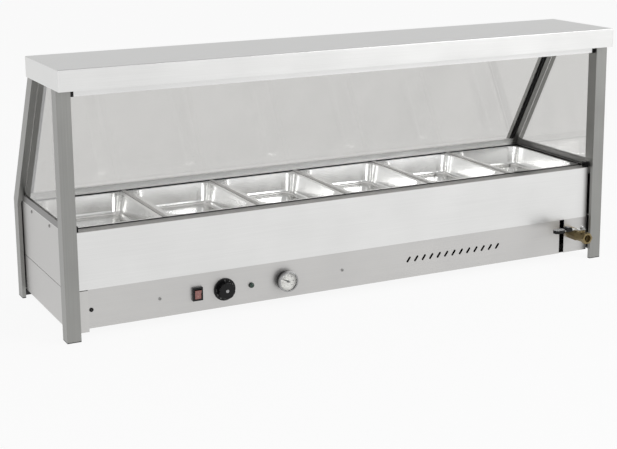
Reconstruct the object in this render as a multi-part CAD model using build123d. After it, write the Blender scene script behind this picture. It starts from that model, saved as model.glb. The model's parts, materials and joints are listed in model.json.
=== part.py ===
from build123d import *
import os
from math import atan2, cos, degrees, hypot, radians, tan

# Countertop food warmer: wet-heat cabinet for six pans, with sloped glass and a steel shelf on four posts.
# Sizes are millimetres. X runs along the counter, Y from the front to the back, Z up from the floor.
# While it is modelled, Y is counted from the front edge of the canopy shelf.

# Overall sizes
LENGTH = 1800
HEIGHT = 755
CANOPY_OVERHANG = 17.5  # the canopy reaches this far behind the rear posts
CANOPY_HEIGHT = 58
COUNTER_Z = 303        # top of the counter
LEAN = 30              # rear posts above the counter, degrees from upright

# Square tube frame
POST = 40
POST_WALL = 1.5
POST_SETBACK = 28      # the front posts stand behind the canopy edge
POST_LIP = 11          # below the counter the posts' inner corners are open, but for these edges
RAIL = 20
CAP = 3                # thickness of the foot caps
CAP_PLUG = 12

# Sheet metal body
SHEET = 1.2
FLANGE = 12
PANEL_SETBACK = 20     # upper front panel behind the front of the posts
CONTROL_RECESS = 2     # control panel behind the upper panel
REAR_SETBACK = 10      # rear panel in front of the backs of the posts
BODY_BOTTOM = 27
SEAM_Z = 138           # top of the control panel
SEAM = 0.5
SIDE_SEAM = 1.5        # the side panels part just under SEAM_Z
LOWER_RAIL_BACK = 22   # the lower front rail stands this far behind the upper one
PANEL_SHORT = 3        # gap between the upper front panel and the right post
FIT = 0.3              # gap between sheet parts that slide together

# Front panels, along X from the left end
STRIP_WIDTH = 30       # narrow strip beside the left post
STRIP_DROP = 9         # the strip reaches below the control panel
TAP_PLATE = 90
TAP_GAP = 18           # open gap between control panel and tap plate

# Pans and dividers
PANS = 6
END_MARGIN = 34.5      # end of the counter to the opening for the pans
DIVIDER = 13
DIVIDER_BASE = 26
DIVIDER_RISE = 2.7
PAN_LENGTH = 368       # front to back, over the rims
PAN_DEPTH = 65
PAN_RIM = 14
PAN_WALL = 1
PAN_CORNER = 38
PAN_DRAFT = 8.5
PAN_FLOOR_RADIUS = 14
PAN_GAP_X = 1
PAN_GAP_Y = 3
OPENING_FRONT = 88
LEDGE = 8
BACK_LEDGE = 64        # opening for the pans to the back of the rear posts

# Water tank and heating
TANK_DEPTH = 124
TANK_FLANGE = 16
ELEMENT_R = 4.25
ELEMENT_RISE = 30
ELEMENT_SPAN = 150
ELEMENT_SHORT = 82.5   # the element turns this far short of the tank's right end
ELEMENT_TAIL = 22      # cold ends outside the tank
GLAND_NUT = 17
GLAND_NUT_DEPTH = 8
SADDLE_PITCH = 500
SADDLE_REACH = 20      # the saddles reach past the legs of the element
SADDLE_RISE = 10
SADDLE = 2
PROBE_ABOVE = 14       # bulbs above the element
PROBE_INSIDE = 16      # bulbs behind the tank's front wall
PROBE_R = 1
PROBE_HOLE = 1.2
BULB_R = 3
BULB_START = 38        # bulb along X from its knob or dial
BULB_LENGTH = 82
RISER = 26             # probe tubes climb this far behind the control panel

# Glass
GLASS = 4
GLASS_GAP = 0.25
GLASS_D = 30           # middle of the rear glass, from the rear post's back face
CHANNEL = 12
CHANNEL_HEIGHT = 20
CHANNEL_FLOOR = 2
SEAL_GRIP = 9
CORNER_BLOCK = 16

# Controls, X from the middle of the counter
CONTROL_Z = 80
SWITCH_X = -510
KNOB_X = -425
LAMP_X = -341
DIAL_X = -231
SWITCH_W = 30
SWITCH_H = 39
SWITCH_PROUD = 10
SWITCH_RIM = 2         # bezel beyond its hole in the panel
SWITCH_BODY = 26
SWITCH_CAVITY = 12
ROCKER_W = 20
ROCKER_H = 29
ROCKER_TILT = 8
ROCKER_PIN = 1.5
ROCKER_EDGE = 1.5      # room above and below the rocker
ROCKER_DISH = 2
KNOB_R = 33
KNOB_GRIP_R = 24
KNOB_HEIGHT = 19
KNOB_SKIRT = 3.5
KNOB_GAP = 0.8         # between the skirt and the panel
KNOB_FACE = 4          # wall in front of the shaft
KNOB_LOBES = 10
SCOOP_R = 5
SCOOP_OUT = 4
SHAFT_R = 3
RUNNING = 0.05
PRESS = 0.01
THERMOSTAT = 44
THERMOSTAT_DEPTH = 32
SHAFT_SEAT = 20
LAMP_RING_R = 8
LAMP_RING = 3
LAMP_R = 7.3
LAMP_RISE = 5
LAMP_BARREL_R = 5.8
LAMP_BORE_R = 5
LAMP_BARREL = 25
DIAL_R = 31
DIAL_PROUD = 24
DIAL_CASE = 2          # case inside the bezel
DIAL_LIP = 1.2
DIAL_LENS = 1.5
DIAL_DEPTH = 8         # dial face behind the front of the bezel
DIAL_STEM_R = 5
SPINDLE_R = 1
NEEDLE_ANGLE = 150     # from +X, seen from the front
SLOTS = 13
SLOT_PITCH = 27
SLOT_MIDDLE = 349
SLOT_Z = 84
SLOT_RISE = 17
SLOT_LEAN = 12.5
SLOT_WIDTH = 7

# Drain valve
VALVE_IN = 106         # drain valve from the right end
VALVE_Z = 93
VALVE_OUTLET = -43     # outlet face, from the canopy's front edge
VALVE_LENGTH = 61
VALVE_MIDDLE = 29      # stem, from the outlet face
VALVE_R = 16.5
VALVE_SOCKET_R = 12
VALVE_SOCKET_DEPTH = 12
BALL_R = 12.5
BALL_BORE = 8.5
PIPE_R = 11
PIPE_BORE = 9.5
PIPE_BEND = 30
DRAIN_Y = 140
STEM_R = 4
LEVER = 108
LEVER_W = 16
LEVER_T = 3
LEVER_CRANK = 4
LEVER_BACK = 10
LEVER_STEP = (18, 30)  # the crank lies between these distances from the stem
GRIP_LENGTH = 36
GRIP_W = 26
GRIP_T = 10
GRIP_SLIDE = (46, 68)  # locking slide, from the stem
SLIDE_W = 20
SLIDE_RISE = 11
STEM_NUT = 13
STEM_NUT_T = 5
STEM_TOP = 8
GLAND_R = 9
GLAND_RISE = 6
VALVE_FRONT_HEX = 14
VALVE_REAR_HEX = 12

# Mains inlet
INLET_IN = 120         # from the left end
INLET_R = 10
INLET_BORE = 5
INLET_HEX = 26
INLET_NUT = 6
INLET_HEAD = 7
INLET_THREAD = 10
TERMINALS = 5
TERMINAL_PITCH = 12
TERMINAL_DEPTH = 22
TERMINAL_HEIGHT = 20
TERMINAL_IN = 63       # in front of the rear panel
TERMINAL_HOLE = 3

# Fasteners
SCREW_R = 1.9
SCREW_HEAD_R = 4.5
CORNER_HEAD_R = 6
SCREW_HEAD = 2
SCREW_LENGTH = 10
SCREW_HOLE = 2
SIDE_SCREWS_Y = (201, 382)
CONTROL_SCREWS = ((-622, 81), (-43, 83))
CORNER_SCREW_IN = 8    # from the edge of the end strip
REAR_SCREWS_IN = 200   # outer rear screws, from the ends

# Derived places
END = LENGTH / 2
POST_IN = END - POST
POST_TOP = HEIGHT - CANOPY_HEIGHT
POST_BACK = POST_SETBACK + POST
OPENING_BACK = OPENING_FRONT + PAN_LENGTH + 2 * PAN_GAP_Y
REAR_BACK = OPENING_BACK + BACK_LEDGE
REAR_FRONT = REAR_BACK - POST
CANOPY_DEPTH = REAR_BACK - (POST_TOP - COUNTER_Z) * tan(radians(LEAN)) + CANOPY_OVERHANG
PANEL_Y = POST_SETBACK + PANEL_SETBACK
CONTROL_Y = PANEL_Y + CONTROL_RECESS
SIDE_GLASS_X = END - POST / 2
SIDE_X = SIDE_GLASS_X + CHANNEL / 2     # side panels, flush with the channel over them
REAR_Y = REAR_BACK - REAR_SETBACK
UNDER_COUNTER = COUNTER_Z - SHEET
OPENING_X = END - END_MARGIN
PITCH = (2 * (OPENING_X - PAN_GAP_Y + PAN_GAP_X) + DIVIDER) / PANS
PAN_WIDTH = PITCH - DIVIDER - 2 * PAN_GAP_X
TANK_X = OPENING_X - LEDGE
TANK_FRONT = OPENING_FRONT + LEDGE
TANK_BACK = OPENING_BACK - LEDGE
TANK_FLOOR = UNDER_COUNTER - TANK_DEPTH
RAIL_TOP = UNDER_COUNTER - SHEET
RAIL_BASE = BODY_BOTTOM + 2 * SHEET
RAIL_END = SIDE_X - SHEET - RAIL        # front and rear rails run between the side rails
RAIL_FRONT = PANEL_Y + 2 * CONTROL_RECESS
RAIL_MIDDLES = (RAIL_BASE + RAIL / 2, RAIL_TOP - RAIL / 2)
STRIP_RIGHT = STRIP_WIDTH - POST_IN
TAP_LEFT = POST_IN - TAP_PLATE
CONTROL_RIGHT = TAP_LEFT - TAP_GAP
BEHIND_CONTROLS = CONTROL_Y + SHEET
VALVE_X = END - VALVE_IN
VALVE_Y = VALVE_OUTLET + VALVE_MIDDLE
GLAND_TOP = VALVE_Z + VALVE_R + GLAND_RISE
LEVER_Z = GLAND_TOP + 1
ELEMENT_Z = TANK_FLOOR + ELEMENT_RISE
ELEMENT_Y = (TANK_FRONT + TANK_BACK) / 2
ELEMENT_SIDES = (ELEMENT_Y - ELEMENT_SPAN / 2, ELEMENT_Y + ELEMENT_SPAN / 2)
PROBE_Z = ELEMENT_Z + PROBE_ABOVE
PROBE_Y = TANK_FRONT + PROBE_INSIDE
KNOB_FRONT = CONTROL_Y - KNOB_GAP - KNOB_SKIRT - KNOB_HEIGHT
DIAL_FRONT = CONTROL_Y - DIAL_PROUD
DIAL_FACE = DIAL_FRONT + DIAL_DEPTH
CASE_R = DIAL_R - DIAL_CASE
INLET_X = INLET_IN - END
CORNER_SCREW = (STRIP_RIGHT + CORNER_SCREW_IN, CONTROL_Z)
REAR_SCREWS = [(x, z) for x in (REAR_SCREWS_IN - END, 0, END - REAR_SCREWS_IN) for z in RAIL_MIDDLES]
MIDDLE_Y = (VALVE_OUTLET + REAR_BACK) / 2


def block(x0, x1, y0, y1, z0, z1):
    """A box from its lowest corner to its highest."""
    return Pos((x0 + x1) / 2, (y0 + y1) / 2, (z0 + z1) / 2) * Box(x1 - x0, y1 - y0, z1 - z0)


def rod_x(x0, x1, y, z, radius):
    return Pos((x0 + x1) / 2, y, z) * Rot(0, 90, 0) * Cylinder(radius, x1 - x0)


def rod_y(x, y0, y1, z, radius):
    return Pos(x, (y0 + y1) / 2, z) * Rot(90, 0, 0) * Cylinder(radius, y1 - y0)


def rod_z(x, y, z0, z1, radius):
    return Pos(x, y, (z0 + z1) / 2) * Cylinder(radius, z1 - z0)


def along_x(points, x0, x1):
    """An outline of (Y, Z) points, pushed along X."""
    return Pos(x0, 0, 0) * extrude(Plane.YZ * Polygon(*points, align=None), x1 - x0)


def facing(sketch, x, z, y_front, y_back):
    """A sketch drawn as seen from the front, filled between two depths."""
    return Pos(x, y_back, z) * extrude(Plane.XZ * sketch, y_back - y_front)


def flip(shape):
    """Mirror image about the middle of the counter."""
    return mirror(shape, about=Plane.YZ)


def both_ends(shape):
    """The right-hand piece and its mirror image."""
    return Compound(children=[shape, flip(shape)])


def lean_y(z, depth):
    """Y of a line parallel to the leaning rear posts, at a depth in from their back face."""
    slope = radians(LEAN)
    return REAR_BACK - (z - COUNTER_Z) * tan(slope) - depth / cos(slope)


def bend_z(depth):
    """Height at which a rear post line at this depth turns from upright to leaning."""
    return COUNTER_Z - depth * tan(radians(LEAN) / 2)


def lean_band(near, far, z_low, z_high):
    """Outline of a leaning strip between two depths from the posts' back face."""
    low = [(lean_y(z_low, far), z_low), (lean_y(z_low, near), z_low)]
    return low + [(lean_y(z_high, near), z_high), (lean_y(z_high, far), z_high)]


def tube_x(x0, x1, y0, z0, size, wall):
    outer = block(x0, x1, y0, y0 + size, z0, z0 + size)
    return outer - block(x0 - 1, x1 + 1, y0 + wall, y0 + size - wall, z0 + wall, z0 + size - wall)


def tube_y(x0, y0, y1, z0, size, wall):
    outer = block(x0, x0 + size, y0, y1, z0, z0 + size)
    return outer - block(x0 + wall, x0 + size - wall, y0 - 1, y1 + 1, z0 + wall, z0 + size - wall)


def front_notch():
    """Open inner corner of the right front post, where the body frame fits in."""
    return block(POST_IN - 1, END - POST_LIP, POST_SETBACK + POST_LIP, POST_BACK + 1, -1, UNDER_COUNTER)


def rear_notch():
    return block(POST_IN - 1, END - POST_LIP, REAR_FRONT - POST, REAR_BACK - POST_LIP, -1, UNDER_COUNTER)


def front_post():
    """Right front post."""
    outer = block(POST_IN, END, POST_SETBACK, POST_BACK, CAP, POST_TOP)
    w = POST_WALL
    inside = block(POST_IN + w, END - w, POST_SETBACK + w, POST_BACK - w, CAP - 1, POST_TOP + 1)
    return outer - [inside, front_notch()]


def bent_outline(near, far, low, high):
    upright = [(REAR_BACK - far, low), (REAR_BACK - near, low), (REAR_BACK - near, bend_z(near))]
    leaning = [(lean_y(high, near), high), (lean_y(high, far), high), (REAR_BACK - far, bend_z(far))]
    return upright + leaning


def rear_post():
    """Right rear post: upright to the counter, then leaning forward to the canopy."""
    w = POST_WALL
    outer = along_x(bent_outline(0, POST, CAP, POST_TOP), POST_IN, END)
    inside = along_x(bent_outline(w, POST - w, CAP - 1, POST_TOP + 1), POST_IN + w, END - w)
    return outer - [inside, rear_notch()]


def foot_cap(y0, notch):
    """Plastic plug in the foot of a right-hand post, open at the same corner."""
    head = block(POST_IN, END, y0, y0 + POST, 0, CAP) - notch
    head = fillet(head.edges().group_by(Axis.Z)[0], 1)
    inset = POST_WALL + FIT
    plug = block(POST_IN + inset, END - inset, y0 + inset, y0 + POST - inset, CAP, CAP + CAP_PLUG)
    return head + (plug - notch)


def screw(x, y, z, out, head_r=SCREW_HEAD_R):
    """Domed screw whose head lies on a face at the point, with the outward direction given."""
    head = Pos(0, 0, SCREW_HEAD / 2) * Cylinder(head_r, SCREW_HEAD)
    head = fillet(head.edges().group_by(Axis.Z)[-1], SCREW_HEAD * 0.45)
    shank = Pos(0, 0, -SCREW_LENGTH / 2) * Cylinder(SCREW_R, SCREW_LENGTH)
    return Plane((x, y, z), z_dir=out) * (head + shank)


def side_screws():
    """Screws of the right side panel."""
    return [screw(SIDE_X, y, RAIL_MIDDLES[1], (1, 0, 0)) for y in SIDE_SCREWS_Y]


def panel_screws():
    right = side_screws()
    left = [flip(s) for s in right]
    front = [screw(x, CONTROL_Y, z, (0, -1, 0)) for x, z in CONTROL_SCREWS]
    rear = [screw(x, REAR_Y, z, (0, 1, 0)) for x, z in REAR_SCREWS]
    return Compound(children=right + left + front + rear)


def screw_holes():
    """Clearance for every screw shank."""
    reach = SCREW_LENGTH + 1
    holes = [rod_x(side * SIDE_X - reach, side * SIDE_X + reach, y, RAIL_MIDDLES[1], SCREW_HOLE)
             for side in (-1, 1) for y in SIDE_SCREWS_Y]
    holes += [rod_y(x, CONTROL_Y - 1, CONTROL_Y + reach, z, SCREW_HOLE)
              for x, z in (*CONTROL_SCREWS, CORNER_SCREW)]
    holes += [rod_y(x, REAR_Y - reach, REAR_Y + 1, z, SCREW_HOLE) for x, z in REAR_SCREWS]
    return holes


def frame_rails():
    """Two rings of square tube inside the posts, under the body and under the counter."""
    rails = []
    for z, front in ((RAIL_BASE, RAIL_FRONT + LOWER_RAIL_BACK), (RAIL_TOP - RAIL, RAIL_FRONT)):
        rails.append(tube_x(-RAIL_END, RAIL_END, front, z, RAIL, POST_WALL))
        rails.append(tube_x(-RAIL_END, RAIL_END, REAR_Y - SHEET - RAIL, z, RAIL, POST_WALL))
        side = tube_y(RAIL_END, POST_SETBACK + POST_WALL, REAR_BACK - POST_WALL, z, RAIL, POST_WALL)
        rails += [side, flip(side)]
    return Compound(children=[rail - screw_holes() for rail in rails])


def canopy_shell():
    outer = block(-END, END, 0, CANOPY_DEPTH, POST_TOP, HEIGHT)
    outer = fillet(outer.edges().group_by(Axis.Z)[-1] + outer.edges().filter_by(Axis.Z), SHEET * 1.5)
    inside = block(-END + SHEET, END - SHEET, SHEET, CANOPY_DEPTH - SHEET, POST_TOP - 1, HEIGHT - SHEET)
    return outer - inside


def canopy_pan():
    """Flat underside of the shelf, with an upturned edge inside the shell."""
    gap = SHEET + FIT
    outer = block(-END + gap, END - gap, gap, CANOPY_DEPTH - gap, POST_TOP, POST_TOP + RAIL)
    gap += SHEET
    return outer - block(-END + gap, END - gap, gap, CANOPY_DEPTH - gap, POST_TOP + SHEET, HEIGHT)


def canopy_front_rail():
    """Light rail under the canopy, just short of the posts."""
    y0 = POST_SETBACK + RAIL / 2
    end = POST_IN - PANEL_SHORT
    return tube_x(-end, end, y0, POST_TOP - RAIL, RAIL, POST_WALL)


def leaning_channel(z_low, z_high, slot_low, slot_high):
    """U-channel that holds the top or bottom edge of the rear glass."""
    outline = lean_band(GLASS_D - CHANNEL / 2, GLASS_D + CHANNEL / 2, z_low, z_high)
    body = along_x(outline, -POST_IN, POST_IN)
    half = GLASS / 2 + GLASS_GAP
    return body - along_x(lean_band(GLASS_D - half, GLASS_D + half, slot_low, slot_high), -END, END)


def rear_glass():
    edge = POST_IN - CHANNEL_FLOOR - FIT
    band = lean_band(GLASS_D - GLASS / 2, GLASS_D + GLASS / 2,
                     COUNTER_Z + CHANNEL_FLOOR, POST_TOP - CHANNEL_FLOOR)
    return along_x(band, -edge, edge)


def rear_glass_seal():
    """Rubber strip between the right rear post and the edge of the rear glass."""
    low = COUNTER_Z + CHANNEL_HEIGHT
    high = POST_TOP - CHANNEL_HEIGHT
    body = along_x(lean_band(GLASS_D - CHANNEL / 2, GLASS_D + CHANNEL / 2, low, high),
                   POST_IN - SEAL_GRIP, POST_IN)
    slot = lean_band(GLASS_D - GLASS / 2, GLASS_D + GLASS / 2, low - 1, high + 1)
    return body - along_x(slot, POST_IN - SEAL_GRIP - 1, POST_IN - CHANNEL_FLOOR)


def side_outline(z_low, z_high, gap):
    """Outline between the front post and the leaning rear post."""
    front = POST_BACK + gap
    return [(front, z_low), (lean_y(z_low, POST) - gap, z_low), (lean_y(z_high, POST) - gap, z_high),
            (front, z_high)]


def side_glass():
    """Right side glass."""
    half = GLASS / 2
    outline = side_outline(COUNTER_Z + CHANNEL_FLOOR, POST_TOP - SEAM, SEAM)
    return along_x(outline, SIDE_GLASS_X - half, SIDE_GLASS_X + half)


def side_channel():
    """Channel at the foot of the right side glass."""
    half = CHANNEL / 2
    top = COUNTER_Z + CHANNEL_HEIGHT
    body = along_x(side_outline(COUNTER_Z, top, 0), SIDE_GLASS_X - half, SIDE_GLASS_X + half)
    slot = GLASS / 2 + GLASS_GAP
    return body - block(SIDE_GLASS_X - slot, SIDE_GLASS_X + slot, 0, REAR_BACK,
                        COUNTER_Z + CHANNEL_FLOOR, top + 1)


def corner_block():
    """Black end block where the right channel meets the front post."""
    piece = block(POST_IN - CHANNEL, POST_IN, POST_BACK - CORNER_BLOCK, POST_BACK,
                  COUNTER_Z, COUNTER_Z + CORNER_BLOCK)
    return fillet(piece.edges().group_by(Axis.Z)[-1], 2)


def post_room():
    """Space that the four posts and their fitting gap take from the sheet parts."""
    front = block(POST_IN - FIT, END + FIT, POST_SETBACK - FIT, POST_BACK + FIT, 0, POST_TOP)
    rear = along_x(bent_outline(-FIT, POST + FIT, 0, POST_TOP), POST_IN - FIT, END + FIT)
    return [front, rear, flip(front), flip(rear)]


def counter_top():
    sheet = block(-SIDE_X, SIDE_X, PANEL_Y, REAR_Y, UNDER_COUNTER, COUNTER_Z)
    opening = block(-OPENING_X, OPENING_X, OPENING_FRONT, OPENING_BACK, UNDER_COUNTER, COUNTER_Z)
    return sheet - [opening] - post_room()


def pan_dividers():
    bars = []
    for i in range(1, PANS):
        x = (i - PANS / 2) * PITCH
        rib = block(x - DIVIDER / 2, x + DIVIDER / 2, OPENING_FRONT + SEAM, OPENING_BACK - SEAM,
                    UNDER_COUNTER, UNDER_COUNTER + DIVIDER_RISE)
        rib = fillet(rib.edges().group_by(Axis.Z)[-1].filter_by(Axis.Y), SHEET)
        base = block(x - DIVIDER_BASE / 2, x + DIVIDER_BASE / 2, TANK_FRONT + FIT, TANK_BACK - FIT,
                     UNDER_COUNTER - SHEET, UNDER_COUNTER)
        bars.append(rib + base)
    return Compound(children=bars)


def pan_body(inset, depth):
    """Tapered well of a pan, from its mouth down."""
    width = PAN_WIDTH - 2 * (PAN_RIM + inset)
    length = PAN_LENGTH - 2 * (PAN_RIM + inset)
    radius = PAN_CORNER - inset
    shrink = 2 * depth * tan(radians(PAN_DRAFT))
    mouth = RectangleRounded(width, length, radius)
    floor = Pos(0, 0, -depth) * RectangleRounded(width - shrink, length - shrink, radius - shrink / 2)
    well = loft([mouth, floor], ruled=True)
    return fillet(well.edges().group_by(Axis.Z)[0], PAN_FLOOR_RADIUS - inset)


def pan():
    """Drawn steel pan, with the top of its rim at height 0."""
    rim = extrude(RectangleRounded(PAN_WIDTH, PAN_LENGTH, PAN_RIM), -PAN_WALL)
    outside = rim + pan_body(-PAN_WALL, PAN_DEPTH)
    return outside - pan_body(0, PAN_DEPTH - PAN_WALL)


def probe_holes():
    """Holes in the front wall of the tank where the probe tubes enter."""
    return [rod_y(x, TANK_FRONT - 3, TANK_FRONT + 1, PROBE_Z, PROBE_HOLE) for x in (KNOB_X, DIAL_X)]


def water_tank():
    s = SHEET
    tub = block(-TANK_X - s, TANK_X + s, TANK_FRONT - s, TANK_BACK + s, TANK_FLOOR - s, UNDER_COUNTER)
    f = TANK_FLANGE
    flange = block(-TANK_X - f, TANK_X + f, TANK_FRONT - f, TANK_BACK + f, UNDER_COUNTER - s, UNDER_COUNTER)
    inside = block(-TANK_X, TANK_X, TANK_FRONT, TANK_BACK, TANK_FLOOR, UNDER_COUNTER + 1)
    holes = [rod_z(VALVE_X, DRAIN_Y, TANK_FLOOR - 2, TANK_FLOOR + 1, PIPE_BORE)]
    for y in ELEMENT_SIDES:
        holes.append(rod_x(-TANK_X - 2, -TANK_X + 1, y, ELEMENT_Z, ELEMENT_R + RUNNING))
    return (tub + flange) - [inside] - holes - probe_holes()


def heating_element():
    """Hairpin tube on the tank floor; its cold ends leave through the left end wall."""
    tail = -TANK_X - ELEMENT_TAIL
    turn = TANK_X - ELEMENT_SHORT
    front, back = ELEMENT_SIDES
    corners = [(tail, front, ELEMENT_Z), (turn, front, ELEMENT_Z), (turn, back, ELEMENT_Z),
               (tail, back, ELEMENT_Z)]
    path = FilletPolyline(*corners, radius=ELEMENT_SPAN / 2 - 1)
    return sweep(Plane(path @ 0, z_dir=path % 0) * Circle(ELEMENT_R), path)


def element_fittings():
    """Gland nuts on the cold ends and saddles on the tank floor."""
    fittings = []
    bore = ELEMENT_R + RUNNING
    for y in ELEMENT_SIDES:
        nut = extrude(Plane.YZ * RegularPolygon(GLAND_NUT / 2, 6, major_radius=False), -GLAND_NUT_DEPTH)
        fittings.append(Pos(-TANK_X - SHEET, y, ELEMENT_Z) * nut
                        - rod_x(-TANK_X - 2 * GLAND_NUT, -TANK_X, y, ELEMENT_Z, bore))
    half = SADDLE / 2
    for x in (-SADDLE_PITCH, 0, SADDLE_PITCH):
        plate = block(x - half, x + half, ELEMENT_SIDES[0] - SADDLE_REACH, ELEMENT_SIDES[1] + SADDLE_REACH,
                      TANK_FLOOR, ELEMENT_Z + SADDLE_RISE)
        fittings.append(plate - [rod_x(x - SADDLE, x + SADDLE, y, ELEMENT_Z, bore) for y in ELEMENT_SIDES])
    return Compound(children=fittings)


def temperature_probes():
    """Thin tubes from the thermostat and the thermometer, each with its bulb in the water."""
    probes = []
    riser_y = BEHIND_CONTROLS + RISER
    starts = {KNOB_X: [(KNOB_X, riser_y, CONTROL_Z + THERMOSTAT / 2)],
              DIAL_X: [(DIAL_X, CONTROL_Y + FLANGE, CONTROL_Z), (DIAL_X, riser_y, CONTROL_Z)]}
    for x, start in starts.items():
        bulb = x + BULB_START
        points = start + [(x, riser_y, PROBE_Z), (x, PROBE_Y, PROBE_Z), (bulb + 1, PROBE_Y, PROBE_Z)]
        path = FilletPolyline(*points, radius=2 * BULB_R)
        tube = sweep(Plane(path @ 0, z_dir=path % 0) * Circle(PROBE_R), path)
        probes.append(tube + rod_x(bulb, bulb + BULB_LENGTH, PROBE_Y, PROBE_Z, BULB_R))
    return Compound(children=probes)


def folded_panel(x0, x1, z0, z1, y):
    """Front panel with its top and bottom edges folded back."""
    solid = block(x0, x1, y, y + FLANGE, z0, z1)
    return solid - block(x0 - 1, x1 + 1, y + SHEET, y + FLANGE + 1, z0 + SHEET, z1 - SHEET)


def vent_slots():
    length = hypot(SLOT_RISE, SLOT_LEAN)
    slot = Rot(0, 0, degrees(atan2(SLOT_RISE, SLOT_LEAN))) * SlotOverall(length, SLOT_WIDTH)
    first = SLOT_MIDDLE - (SLOTS - 1) * SLOT_PITCH / 2
    return [facing(slot, first + i * SLOT_PITCH, SLOT_Z, CONTROL_Y - 1, CONTROL_Y + SHEET + 1)
            for i in range(SLOTS)]


def control_panel():
    panel = folded_panel(STRIP_RIGHT, CONTROL_RIGHT, BODY_BOTTOM, SEAM_Z, CONTROL_Y)
    y0 = CONTROL_Y - 1
    y1 = CONTROL_Y + SHEET + 1
    half_w = SWITCH_W / 2 - SWITCH_RIM
    half_h = SWITCH_H / 2 - SWITCH_RIM
    switch_hole = block(SWITCH_X - half_w, SWITCH_X + half_w, y0, y1,
                        CONTROL_Z - half_h, CONTROL_Z + half_h)
    round_holes = [rod_y(KNOB_X, y0, y1, CONTROL_Z, SHAFT_R + 2),
                   rod_y(LAMP_X, y0, y1, CONTROL_Z, LAMP_BARREL_R + SCREW_HOLE - SCREW_R),
                   rod_y(DIAL_X, y0, y1, CONTROL_Z, DIAL_STEM_R + SCREW_HOLE - SCREW_R)]
    return panel - vent_slots() - [switch_hole] - round_holes - screw_holes()


def tap_plate():
    plate = folded_panel(TAP_LEFT, POST_IN, BODY_BOTTOM, SEAM_Z, CONTROL_Y)
    return plate - rod_y(VALVE_X, CONTROL_Y - 1, CONTROL_Y + 3, VALVE_Z, PIPE_R + 1)


def side_panel(z0, z1):
    """Part of the right side, with its top and bottom edges folded in."""
    solid = block(SIDE_X - FLANGE, SIDE_X, POST_SETBACK, REAR_BACK, z0, z1) - post_room()
    return solid - block(SIDE_X - FLANGE - 1, SIDE_X - SHEET, 0, REAR_BACK + 1, z0 + SHEET, z1 - SHEET)


def rear_panel():
    x = POST_IN - FIT
    solid = block(-x, x, REAR_Y - FLANGE, REAR_Y, BODY_BOTTOM, UNDER_COUNTER)
    inside = block(-END, END, REAR_Y - FLANGE - 1, REAR_Y - SHEET,
                   BODY_BOTTOM + SHEET, UNDER_COUNTER - SHEET)
    cable_hole = rod_y(INLET_X, REAR_Y - 3, REAR_Y + 1, CONTROL_Z, INLET_R)
    return solid - [inside, cable_hole] - screw_holes()


def bottom_cover():
    z = BODY_BOTTOM + SHEET
    sheet = block(-SIDE_X + SHEET, SIDE_X - SHEET, BEHIND_CONTROLS, REAR_Y - SHEET, z, z + SHEET)
    return sheet - post_room()


def cable_gland():
    """Threaded gland with an empty bore, flange outside and nut inside the rear panel."""
    inner = REAR_Y - SHEET
    thread = rod_y(INLET_X, inner - INLET_THREAD, REAR_Y + 1, CONTROL_Z, INLET_R - RUNNING)
    hexagon = RegularPolygon(INLET_HEX / 2, 6, major_radius=False)
    nut = facing(hexagon, INLET_X, CONTROL_Z, inner - INLET_NUT, inner)
    head = facing(hexagon, INLET_X, CONTROL_Z, REAR_Y, REAR_Y + INLET_HEAD)
    bore = rod_y(INLET_X, REAR_Y - 2 * INLET_THREAD, REAR_Y + 2 * INLET_THREAD, CONTROL_Z, INLET_BORE)
    return thread + nut + head - bore


def terminal_block():
    half = TERMINALS * TERMINAL_PITCH / 2
    back = REAR_Y - TERMINAL_IN
    top = RAIL_BASE + TERMINAL_HEIGHT
    base = block(INLET_X - half, INLET_X + half, back - TERMINAL_DEPTH, back, RAIL_BASE, top)
    base = fillet(base.edges().group_by(Axis.Z)[-1], 1.5)
    first = INLET_X - half + TERMINAL_PITCH / 2
    holes = [rod_z(first + i * TERMINAL_PITCH, back - TERMINAL_DEPTH / 2, top - TERMINAL_PITCH, top + 1,
                   TERMINAL_HOLE) for i in range(TERMINALS)]
    return base - holes


def switch_housing():
    front = CONTROL_Y - SWITCH_PROUD
    bezel = block(SWITCH_X - SWITCH_W / 2, SWITCH_X + SWITCH_W / 2, front, CONTROL_Y,
                  CONTROL_Z - SWITCH_H / 2, CONTROL_Z + SWITCH_H / 2)
    bezel = fillet(bezel.edges().group_by(Axis.Y)[0], 1.5)
    half_w = SWITCH_W / 2 - SWITCH_RIM - FIT / 2
    half_h = SWITCH_H / 2 - SWITCH_RIM - FIT / 2
    body = block(SWITCH_X - half_w, SWITCH_X + half_w, CONTROL_Y, CONTROL_Y + SWITCH_BODY,
                 CONTROL_Z - half_h, CONTROL_Z + half_h)
    cavity = block(SWITCH_X - ROCKER_W / 2, SWITCH_X + ROCKER_W / 2, front - 1, CONTROL_Y + SWITCH_CAVITY,
                   CONTROL_Z - ROCKER_H / 2, CONTROL_Z + ROCKER_H / 2)
    pivot = rod_x(SWITCH_X - ROCKER_W / 2 - 1, SWITCH_X + ROCKER_W / 2 + 1, CONTROL_Y, CONTROL_Z,
                  ROCKER_PIN + 2 * RUNNING)
    return bezel + body - [cavity, pivot]


def switch_rocker():
    """Rocker resting in its off position, tilted about its pivot at the panel face."""
    front = -SWITCH_PROUD - SEAM
    reach = ROCKER_H / 2 - ROCKER_EDGE
    inner = reach - 2 * ROCKER_EDGE
    outline = [(front, reach), (front + ROCKER_DISH, 0), (front, -reach), (ROCKER_EDGE, -inner),
               (2 * ROCKER_DISH, 0), (ROCKER_EDGE, inner)]
    half = ROCKER_W / 2 - FIT
    body = along_x(outline, -half, half)
    pins = rod_x(-half - 1, half + 1, 0, 0, ROCKER_PIN)
    return Pos(SWITCH_X, CONTROL_Y, CONTROL_Z) * Rot(ROCKER_TILT, 0, 0) * (body + pins)


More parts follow.
